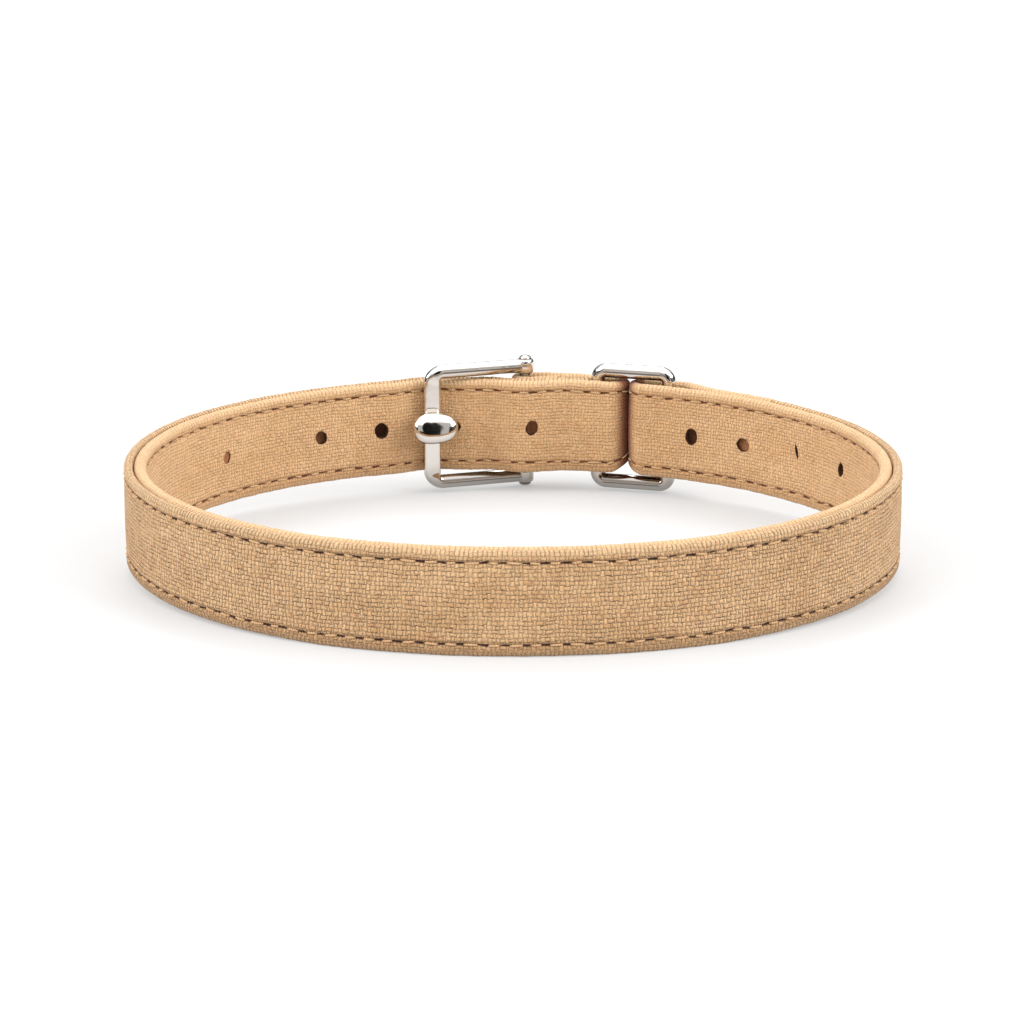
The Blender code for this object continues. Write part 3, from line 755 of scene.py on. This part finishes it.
def polished(plating):
    """Bright plating with faint wipe marks and a very slight ripple from polishing.

    Its colour is painted darker in a line just below each level bar's middle and along its underside, as dark
    reflections, and close to the surface, as shade, where the photograph's metal is dark."""
    g = Graph(plating["name"])
    seed, line = plating["seed"], plating["line"]
    point = g.object_point()
    ripple = g.noise(point, 260.0 + seed, 2.0)
    wipe = g.noise(point, 1900.0 + seed, 3.0, 0.7)
    g.bump(ripple * 0.05 + wipe * 0.0015)
    smudge = g.noise(point, 520.0 + seed, 3.0)
    facing = g.parts(g.field("Normal", "ShaderNodeNewGeometry"))[2]
    height = g.parts(g.field("Position", "ShaderNodeNewGeometry"))[2]
    # Painted dark reflections: a line just below a level bar's middle, and the underside
    reflection_line = (1.0 - ((facing + 0.05).absolute()).step(0.07, 0.18)) * g.attribute("level")
    down = (reflection_line * line).maximum((facing * -1.0).step(0.58, 0.90) * 0.85)
    # Painted shade close to the floor
    low = (1.0 - height.step(0.002, 0.006)) * (line * 0.55)
    tone = g.mix(smudge, STEEL, tinted(STEEL, (0.93, 0.93, 0.93)))
    darker = g.mix(down.maximum(low), tone, tinted(STEEL, (0.10, 0.10, 0.10)))
    g.set(Base_Color=darker, Roughness=plating["roughness"] + smudge * 0.05)
    g.shader.inputs["Metallic"].default_value = 1.0
    return g.material


# Placing pieces


def linked(name, data):
    obj = bpy.data.objects.new(name, data)
    bpy.context.scene.collection.objects.link(obj)
    return obj


def finished(bm, name, shaded_smooth=True):
    """Turns bm into a mesh with its faces turned out."""
    bmesh.ops.recalc_face_normals(bm, faces=bm.faces)
    mesh = bpy.data.meshes.new(name)
    bm.to_mesh(mesh)
    bm.free()
    if shaded_smooth:
        mesh.shade_smooth()
    return mesh


def show(name, mesh, material, nodes=()):
    obj = linked(name, mesh)
    mesh.materials.append(material)
    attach(obj, "root")
    if nodes:
        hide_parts(*nodes)
    return obj


def apply_modifiers(obj):
    graph = bpy.context.evaluated_depsgraph_get()
    mesh = bpy.data.meshes.new_from_object(obj.evaluated_get(graph))
    obj.modifiers.clear()
    obj.data = mesh


def cut(obj, cutter_mesh, wall):
    """Cuts a mesh out of obj; the cut's walls take the wall material."""
    cutter = linked("cutter", cutter_mesh)
    cutter_mesh.materials.append(wall)
    obj.data.materials.append(wall)
    change = obj.modifiers.new("Cut", "BOOLEAN")
    change.operation = "DIFFERENCE"
    change.solver = "EXACT"
    change.material_mode = "TRANSFER"
    change.object = cutter
    apply_modifiers(obj)
    bpy.data.objects.remove(cutter)


def skin(bm, outlines, closed_path=False, closed_outline=True):
    """Faces between neighbouring outlines, and from the last to the first on a closed path."""
    rings = [[bm.verts.new(point) for point in outline] for outline in outlines]
    count = len(rings[0])
    for near, far in zip(rings, rings[1:] + rings[:1] if closed_path else rings[1:]):
        for i in range(count if closed_outline else count - 1):
            j = (i + 1) % count
            bm.faces.new((near[i], near[j], far[j], far[i]))
    return rings


def capped_skin(bm, outlines):
    rings = skin(bm, outlines)
    bm.faces.new(list(reversed(rings[0])))
    bm.faces.new(rings[-1])


def hole_frame(s, z, lean):
    return upright_frame(s, give(s), z) @ Matrix.Rotation(radians(lean), 4, "Z")


def hole_cutters(name, rows, low, high, seed, segments=36):
    """Punched holes with ragged outlines. A row is (s, middle height, half width, half height, lean)."""
    rng = random.Random(seed)
    bm = bmesh.new()
    for s, z, half_width, half_height, lean in rows:
        matrix = hole_frame(s, z, lean)
        phases = [rng.uniform(0, 2 * pi) for _ in range(3)]
        outline = []
        for i in range(segments):
            a = 2 * pi * i / segments
            ragged = 1 + 0.045 * sin(2 * a + phases[0]) + 0.02 * sin(5 * a + phases[1])
            ragged += 0.015 * sin(9 * a + phases[2])
            outline.append((half_width * ragged * cos(a), half_height * ragged * sin(a)))
        capped_skin(bm, [[matrix @ Vector((x, y, level)) for x, y in outline] for level in (low, high)])
    return finished(bm, name, shaded_smooth=False)


def punched_rows():
    rows = []
    for h in HOLES:
        s, half = h["pitches"] * HOLE_PITCH, h["size"] * HOLE_DIAMETER / 2
        rows.append((s, middle_z(s) + h["up"] * STRAP_WIDTH, half * h["wide"], half * h["tall"], h["lean"]))
    return rows


def prong_row():
    return (PRONG_HOLE_S, BACK_Z, PRONG_HOLE_LENGTH / 2, PRONG_WIRE / 2 + GAP, 0)


def fray_mesh(rings=7, segments=22, dip=0.00015, fuzz=0.00009, overlap=1.12):
    """The frayed cloth inside each unused hole: a rough, slightly sunken disc set into the hole's wall, which
    takes the hole's painted shade.
    """
    rng = random.Random(17)
    bm = bmesh.new()
    lit_share = []
    for hole, (s, middle, half_width, half_height, lean) in zip(HOLES, punched_rows()):
        matrix = hole_frame(s, middle, lean)
        level = hole["deep"] - STRAP
        outlines = []
        for r in range(1, rings + 1):
            share = overlap * r / rings
            outlines.append([])
            for k in range(segments):
                a = 2 * pi * k / segments
                z = level + dip * (1 - share) + rng.uniform(-fuzz, fuzz)
                x, y = half_width * share * cos(a), half_height * share * sin(a)
                outlines[-1].append(matrix @ Vector((x, y, z)))
        centre = bm.verts.new(matrix @ Vector((0, 0, level + dip)))
        inner = skin(bm, outlines[::-1])[-1]
        for k in range(segments):
            bm.faces.new((centre, inner[k], inner[(k + 1) % segments]))
        lit_share += [hole["lit_share"]] * (len(bm.verts) - len(lit_share))
    mesh = bpy.data.meshes.new("hole_fray")
    bm.to_mesh(mesh)
    bm.free()
    write_values(mesh, "lit_share", lit_share)
    mesh.shade_smooth()
    return mesh


def slot_cutter(past=0.001):
    """The slot for the prong's eye, in the inner layer's fold round the heel pin."""
    bm = bmesh.new()
    low = DRAW_AT_PIN + GAP / 2 - PIN_OUT
    high = PIN_CAVITY + INNER_LAYER + past
    reach = PIN_CAVITY + SKIVED_LAYER + past
    matrix = upright_frame(PIN_S, PIN_OUT, BACK_Z)
    size = Matrix.Diagonal((2 * reach, PRONG_WIRE + 2 * GAP, high - low, 1))
    bmesh.ops.create_cube(bm, size=1.0, matrix=matrix @ Matrix.Translation((0, 0, (high + low) / 2)) @ size)
    return finished(bm, "slot_cutter", shaded_smooth=False)


def tube(bm, uv, centres, radii, ups, sides=7):
    """A round-ended tube through centres, added to bm, with the weave map in millimetres."""
    rings = []
    for i, (centre, radius, up) in enumerate(zip(centres, radii, ups)):
        ahead = (centres[min(i + 1, len(centres) - 1)] - centres[max(i - 1, 0)]).normalized()
        across = ahead.cross(up).normalized()
        lifted = across.cross(ahead)
        ring = []
        for k in range(sides):
            a = 2 * pi * k / sides
            ring.append(bm.verts.new(centre + (across * cos(a) + lifted * sin(a)) * radius))
        rings.append(ring)
    travelled = 0.0
    for i in range(len(rings) - 1):
        step = (centres[i + 1] - centres[i]).length / MM
        for k in range(sides):
            j = (k + 1) % sides
            face = bm.faces.new((rings[i][k], rings[i][j], rings[i + 1][j], rings[i + 1][k]))
            spots = ((travelled, k), (travelled, k + 1), (travelled + step, k + 1), (travelled + step, k))
            for loop, (a, b) in zip(face.loops, spots):
                loop[uv].uv = (a, b / sides)
        travelled += step
    bm.faces.new(list(reversed(rings[0])))
    bm.faces.new(rings[-1])


def stitches(name, rows, lines, wander, look):
    """Thread between each pair of needle marks past the unsewn run, arched over the cloth, in one mesh."""
    rng = random.Random(look["thread_seed"])
    runs = np.array([row["run"] for row in rows])
    depth, radius = look["channel"], look["thread"]
    bm = bmesh.new()
    uv = bm.loops.layers.uv.new("weave")
    for side in (1, -1):
        for first, last in zip(lines[side], lines[side][1:]):
            if (first + last) / 2 < look["unsewn"]:
                continue
            low, high = first + rng.uniform(0.0006, 0.0010), last - rng.uniform(0.0006, 0.0010)
            sway = rng.uniform(-0.00010, 0.00010)
            centres, radii, ups = [], [], []
            for share in np.linspace(0.0, 1.0, 9):
                nearest = int(np.searchsorted(runs, low + (high - low) * share))
                row = rows[min(nearest, len(rows) - 1)]
                middle = side * (row["half"] - STITCH_MARGIN) + wander[side][nearest % len(runs)]
                arched = sin(pi * share) ** 0.6
                level = row["thick"] - depth + depth * 0.45 * arched - radius * 0.6 * (1 - arched)
                plan = row["core"] + row["away"] * level
                centres.append(Vector((plan.x, plan.y, row["z"] + middle + sway * (share - 0.5) * 2)))
                radii.append(radius * (0.45 + 0.55 * sin(pi * (0.12 + 0.76 * share)) ** 0.5))
                ups.append(row["away"].to_3d())
            tube(bm, uv, centres, radii, ups)
    return finished(bm, name)


def swept(name, sections, sides, closed=False, levelled=True):
    """A bar through sections, each an outline between an ellipse, of power 2, and a rectangle.

    Where levelled, its points keep "level", which is 1 where the bar lies level."""
    outlines, levels = [], []
    for i, row in enumerate(sections):
        after = (i + 1) % len(sections) if closed else min(i + 1, len(sections) - 1)
        before = i - 1 if closed else max(i - 1, 0)
        ahead = (sections[after]["centre"] - sections[before]["centre"]).normalized()
        through = (row["through"] - ahead * row["through"].dot(ahead)).normalized()
        across = ahead.cross(through)
        outline = []
        for k in range(sides):
            angle = 2 * pi * (k + 0.5) / sides
            c, s = cos(angle), sin(angle)
            u = row["half_across"] * copysign(abs(c) ** (2 / row["power"]), c)
            v = row["half_through"] * copysign(abs(s) ** (2 / row["power"]), s)
            outline.append(row["centre"] + across * u + through * v)
        outlines.append(outline)
        levels.append(1 - abs(ahead.z))
    bm = bmesh.new()
    if closed:
        skin(bm, outlines, closed_path=True)
    else:
        capped_skin(bm, outlines)
    mesh = finished(bm, name)
    if levelled:
        write_values(mesh, "level", np.repeat(levels, sides))
    return mesh


def eased(route, count):
    """Points spaced evenly on a smooth curve through the route (Catmull-Rom)."""
    dense = []
    padded = [route[0] * 2 - route[1]] + list(route) + [route[-1] * 2 - route[-2]]
    for i in range(1, len(padded) - 2):
        p0, p1, p2, p3 = padded[i - 1:i + 3]
        for k in range(12):
            t = k / 12
            dense.append(0.5 * (2 * p1 + (p2 - p0) * t + (2 * p0 - 5 * p1 + 4 * p2 - p3) * t * t
                                + (3 * p1 - p0 - 3 * p2 + p3) * t**3))
    dense.append(route[-1])
    lengths = np.concatenate([[0.0], np.cumsum([(b - a).length for a, b in zip(dense, dense[1:])])])
    array = np.array([list(p) for p in dense])
    wanted = np.linspace(0, lengths[-1], count)
    return [Vector([float(np.interp(w, lengths, array[:, c])) for c in range(3)]) for w in wanted]


def frame_mesh(arm_steps=26, corner_steps=14, bar_steps=12):
    """The frame's bar, from the upper eye round the front and back: round arms and a flat front bar."""
    bend = FRAME_LENGTH - FRAME_CORNER
    straight = ARM_RISE - FRAME_CORNER
    upper = [(bend * i / arm_steps, ARM_RISE) for i in range(arm_steps + 1)]
    for i in range(1, corner_steps + 1):
        angle = pi / 2 * (1 - i / corner_steps)
        upper.append((bend + FRAME_CORNER * cos(angle), straight + FRAME_CORNER * sin(angle)))
    upper += [(FRAME_LENGTH, straight * (1 - i / bar_steps)) for i in range(1, bar_steps + 1)]
    route = upper + [(a, -b) for a, b in reversed(upper[:-1])]
    pin, bar = LOOP.place(PIN_S, PIN_OUT), LOOP.place(BAR_S, BAR_OUT)
    sections = []
    for a, up in route:
        flat = smooth((ARM_RISE - abs(up)) / FRAME_CORNER)
        sections.append({
            "centre": Vector((*pin.lerp(bar, a / FRAME_LENGTH), BACK_Z + up)),
            "through": LOOP.out(PIN_S + a).to_3d(),
            "half_across": (FRAME_WIRE + (BAR_WIDTH - FRAME_WIRE) * flat) / 2,
            "half_through": (FRAME_WIRE + (BAR_THICKNESS - FRAME_WIRE) * flat) / 2,
            "power": 2 + 2 * flat,
        })
    return swept("buckle_frame_bar", sections, 28)


def eye_mesh(side):
    """The frame's eye: a short upright barrel with rounded lips round the heel pin's spigot."""
    low, high = side * ARM_RISE - EYE_HEIGHT / 2, side * ARM_RISE + EYE_HEIGHT / 2
    bore, lip = SPIGOT_WIRE / 2 + GAP, EYE_LIP
    inner = EYE_WIDTH / 2 - lip
    profile = [(bore, low), (inner, low)]
    angles = (0.0, 0.5, 1.0, pi / 2)
    profile += [(inner + lip * sin(a), low + lip - lip * cos(a)) for a in angles[1:]]
    profile += [(inner + lip * cos(a), high - lip + lip * sin(a)) for a in angles]
    profile += [(bore, high)]
    return turned(f"frame_eye_{'top' if side > 0 else 'bottom'}", profile, closed=True)


def turned(name, profile, closed=False, segments=40):
    """A profile of (radius, height) turned about the heel pin's axis."""
    plan = LOOP.place(PIN_S, PIN_OUT)
    outlines = []
    for k in range(segments):
        a = 2 * pi * k / segments
        c, w = cos(a), sin(a)
        outlines.append([Vector((plan.x + r * c, plan.y + r * w, BACK_Z + z)) for r, z in profile])
    bm = bmesh.new()
    skin(bm, outlines, closed_path=True, closed_outline=closed)
    bmesh.ops.remove_doubles(bm, verts=bm.verts, dist=1e-7)
    mesh = finished(bm, name)
    mesh.set_sharp_from_angle(angle=radians(50))
    return mesh


def pin_mesh():
    """The heel pin: its shank, a spigot in each eye and a riveted dome at each end."""
    shoulder = ARM_RISE - EYE_HEIGHT / 2 - GAP
    seat = ARM_RISE + EYE_HEIGHT / 2 + HEAD_ROOM
    dome = PIN_REACH - seat
    upper = [(PIN_WIRE / 2, shoulder), (SPIGOT_WIRE / 2, shoulder), (SPIGOT_WIRE / 2, seat)]
    upper.append((PIN_HEAD / 2 - 0.0001, seat))
    for a in np.linspace(0, pi / 2, 9):
        upper.append((PIN_HEAD / 2 * cos(a), seat + dome * (0.2 + 0.8 * sin(a))))
    upper[-1] = (0.0, PIN_REACH)
    return turned("heel_pin_steel", [(r, -z) for r, z in reversed(upper)] + upper)


def prong_route():
    """Round the pin, through the strap's hole and on to the ball."""
    left, outward, pin = LOOP.left(PIN_S), LOOP.out(PIN_S), LOOP.place(PIN_S, PIN_OUT)
    radius = PIN_CAVITY + PRONG_EYE_WIRE / 2
    plans = []
    for angle in np.radians(np.linspace(-200, 90, 11)):
        plans.append(pin + left * (radius * cos(angle)) + outward * (radius * sin(angle)))
    for row in PRONG_PATH:
        plans.append(LOOP.place(PIN_S + row["along"] * FRAME_LENGTH, row["out"] * STRAP))
    plans.append(LOOP.place(BAR_S, TIP_OUT))
    return [Vector((plan.x, plan.y, BACK_Z)) for plan in plans]


def prong_mesh(count=90):
    """The eye is thinner wire than the shank, which it joins a little before the middle of the route."""
    up = Vector((0.0, 0.0, 1.0))
    sections = []
    for i, centre in enumerate(eased(prong_route(), count)):
        share = smooth((i / (count - 1) - 0.42) / 0.12)
        half = (PRONG_EYE_WIRE + (PRONG_WIRE - PRONG_EYE_WIRE) * share) / 2
        sections.append({"centre": centre, "through": up, "half_across": half,
                         "half_through": PRONG_WIRE / 2, "power": 2.4})
    return swept("prong_shank", sections, 22, levelled=False)


def tip_mesh():
    """The prong's ball: a plump egg along the strap, its face turned a little up."""
    bm = bmesh.new()
    bmesh.ops.create_uvsphere(bm, u_segments=56, v_segments=36, radius=1.0)
    for vert in bm.verts:
        x, y, z = vert.co
        z = copysign(max(0.0, 1 - hypot(x, y) ** TIP_POWER) ** (1 / TIP_POWER), z)
        plump = 1 + TIP_EGG * (1 - x * x) * x
        vert.co = Vector((copysign(abs(x) ** TIP_BLUNT, x), y * plump, z * plump))
    size = Matrix.Diagonal((TIP_LENGTH / 2, TIP_HEIGHT / 2, TIP_DEPTH / 2, 1))
    tilt = Matrix.Rotation(TIP_TILT, 4, "X")
    matrix = upright_frame(BAR_S - TIP_SHIFT, TIP_OUT, BACK_Z + TIP_RISE)
    bmesh.ops.transform(bm, matrix=matrix @ tilt @ size, verts=bm.verts)
    return finished(bm, "prong_ball")


def ring_frame():
    """The ring's own frame: its plane holds the middles of both side bars in the strap's folds."""
    reach = (RING_WIDTH - RING_WIRE) / 2
    bars = (LOOP.raw(RING_S + reach) + LOOP.raw(RING_S - reach)) / 2
    bow = (LOOP.raw(RING_S) - bars).dot(LOOP.out(RING_S))
    return upright_frame(RING_S, RING_OUT - bow, BACK_Z - RING_DROP)


def ring_mesh(corner_steps=14):
    half_width = RING_WIDTH / 2 - RING_WIRE / 2
    half_height = RING_HEIGHT / 2 - RING_WIRE / 2
    route = []
    for side, up, start in ((1, 1, 0), (-1, 1, 90), (-1, -1, 180), (1, -1, 270)):
        centre = Vector((side * (half_width - RING_CORNER), up * (half_height - RING_CORNER), 0))
        for i in range(corner_steps + 1):
            a = radians(start + 90 * i / corner_steps)
            route.append(centre + Vector((cos(a), sin(a), 0)) * RING_CORNER)
    matrix = ring_frame()
    through = matrix.to_3x3() @ Vector((0, 0, 1))
    wire = {"through": through, "half_across": RING_WIRE / 2, "half_through": RING_WIRE / 2, "power": 2}
    return swept("square_ring_wire", [{"centre": matrix @ point, **wire} for point in route], 28, closed=True)


# The set

def build_layer(name, rows, look, weave, holes, wall, sewing):
    """One strap layer with its holes and its thread."""
    slot = f"canvas_{name}"
    mesh, lines, wander = strap_mesh(f"{name}_canvas", rows, look)
    layer = show(f"{name}_canvas", mesh, canvas(slot, weave), [f"strap_{name}_layer"])
    cut(layer, hole_cutters(f"{name}_holes", holes, *look["hole_levels"], look["hole_seed"]), wall)
    sewn = stitches(f"{name}_stitches", rows, lines, wander, look)
    show(f"{name}_stitches", sewn, sewing)
    return layer


def build_straps():
    wall, sewing = hole_wall("hole_wall"), thread("thread_tan", *THREAD_TAN)
    holes = punched_rows() + [prong_row()]
    rows = outer_layer_sections()
    outer = build_layer("outer", rows, OUTER, OUTER_WEAVE, holes, wall, sewing)
    show("hole_fray", fray_mesh(), wall)
    rows = inner_layer_sections()
    inner = build_layer("inner", rows, INNER, INNER_WEAVE, holes, wall, sewing)
    cut(inner, slot_cutter(), wall)


def build_hardware():
    steel = polished(BAR_PLATING)
    show("buckle_frame_bar", frame_mesh(), steel, ["buckle_frame"])
    for side in (1, -1):
        mesh = eye_mesh(side)
        show(mesh.name, mesh, steel)
    show("heel_pin_steel", pin_mesh(), polished(PIN_PLATING), ["heel_pin"])
    show("prong_shank", prong_mesh(), steel, ["prong"])
    show("prong_ball", tip_mesh(), polished(BALL_PLATING))
    show("square_ring_wire", ring_mesh(), steel, ["square_ring"])


def build_camera():
    data = bpy.data.cameras.new("camera")
    data.sensor_width = 36.0
    data.lens = FOCAL_PX / PHOTO * data.sensor_width
    data.shift_x = (PHOTO / 2 - CENTRE_PX[0]) / PHOTO
    data.shift_y = (CENTRE_PX[1] - PHOTO / 2) / PHOTO
    data.clip_start, data.clip_end = 0.01, 20.0
    camera = linked("camera", data)
    back = Vector((0.0, -cos(CAMERA_ELEVATION), sin(CAMERA_ELEVATION)))
    aim = Vector((LOOP.shift.x, LOOP.shift.y, CAMERA_AIM_HEIGHT))
    camera.location = aim + back * CAMERA_DISTANCE
    camera.rotation_mode = "QUATERNION"
    camera.rotation_quaternion = (-back).to_track_quat("-Z", "Y")
    bpy.context.scene.camera = camera


def matte(name, shade, roughness):
    """A grey without gloss."""
    g = Graph(name)
    g.set(Base_Color=(shade, shade, shade, 1.0), Roughness=roughness)
    g.shader.inputs["Specular IOR Level"].default_value = 0.0
    return g


def staged(name, points, faces, g):
    mesh = bpy.data.meshes.new(name)
    mesh.from_pydata(points, [], faces)
    mesh.materials.append(g.material)
    made = linked(name, mesh)
    return made


def card(name, points, faces, shade):
    """A dark card round the set, there for polished metal alone to reflect."""
    made = staged(name, points, faces, matte(name, shade, 0.8))
    made.visible_camera = made.visible_diffuse = made.visible_shadow = False


def build_cards():
    """A band round the back and sides, an upright card in front and an oval one that the ball shows."""
    band, low, spot = CARD_BAND, CARD_LOW, CARD_SPOT
    turns = np.linspace(band["first"], band["last"], 49)
    around = [(band["radius"] * cos(a), band["radius"] * sin(a)) for a in turns]
    points = [(x, y, z) for z in (band["low"], band["high"]) for x, y in around]
    card("card_band", points, [(i, i + 1, 50 + i, 49 + i) for i in range(48)], band["shade"])
    corners = ((-1, "low"), (1, "low"), (1, "high"), (-1, "high"))
    points = [(side * low["half_width"], low["y"], low[level]) for side, level in corners]
    card("card_low", points, [(0, 1, 2, 3)], low["shade"])
    points = []
    for a in np.linspace(0, 2 * pi, 33)[:-1]:
        x, z = spot["half_width"] * cos(a), spot["half_height"] * sin(a)
        points.append((spot["x"] + x, spot["y"], spot["z"] + z))
    card("card_spot", points, [tuple(range(len(points)))], spot["shade"])


def build_studio():
    """A white surface that stays nearly white, and wide light from far off."""
    g = matte("floor_white", FLOOR_ALBEDO, 0.9)
    g.set(Emission_Color=(1.0, 1.0, 1.0, 1.0), Emission_Strength=FLOOR_GLOW)
    reach = FLOOR_REACH
    corners = [(-reach, -reach, 0), (reach, -reach, 0), (reach, reach, 0), (-reach, reach, 0)]
    staged("floor", corners, [(0, 1, 2, 3)], g).location.z = FLOOR_Z

    world = bpy.data.worlds.new("studio")
    bpy.context.scene.world = world
    world.use_nodes = True
    background = world.node_tree.nodes["Background"]
    background.inputs["Color"].default_value = (1.0, 1.0, 1.0, 1.0)
    background.inputs["Strength"].default_value = WORLD_LIGHT
    for light in SUNS:
        data = bpy.data.lights.new(light["name"], "SUN")
        data.angle = radians(light["wide"])
        data.energy = light["strength"]
        azimuth, height = radians(light["azimuth"]), radians(light["height"])
        level = cos(height)
        towards = Vector((cos(azimuth) * level, sin(azimuth) * level, sin(height)))
        linked(light["name"], data).rotation_euler = (-towards).to_track_quat("-Z", "Y").to_euler()
    bpy.context.scene.view_settings.view_transform = "Standard"


build_camera()
build_straps()
build_hardware()
build_studio()
build_cards()
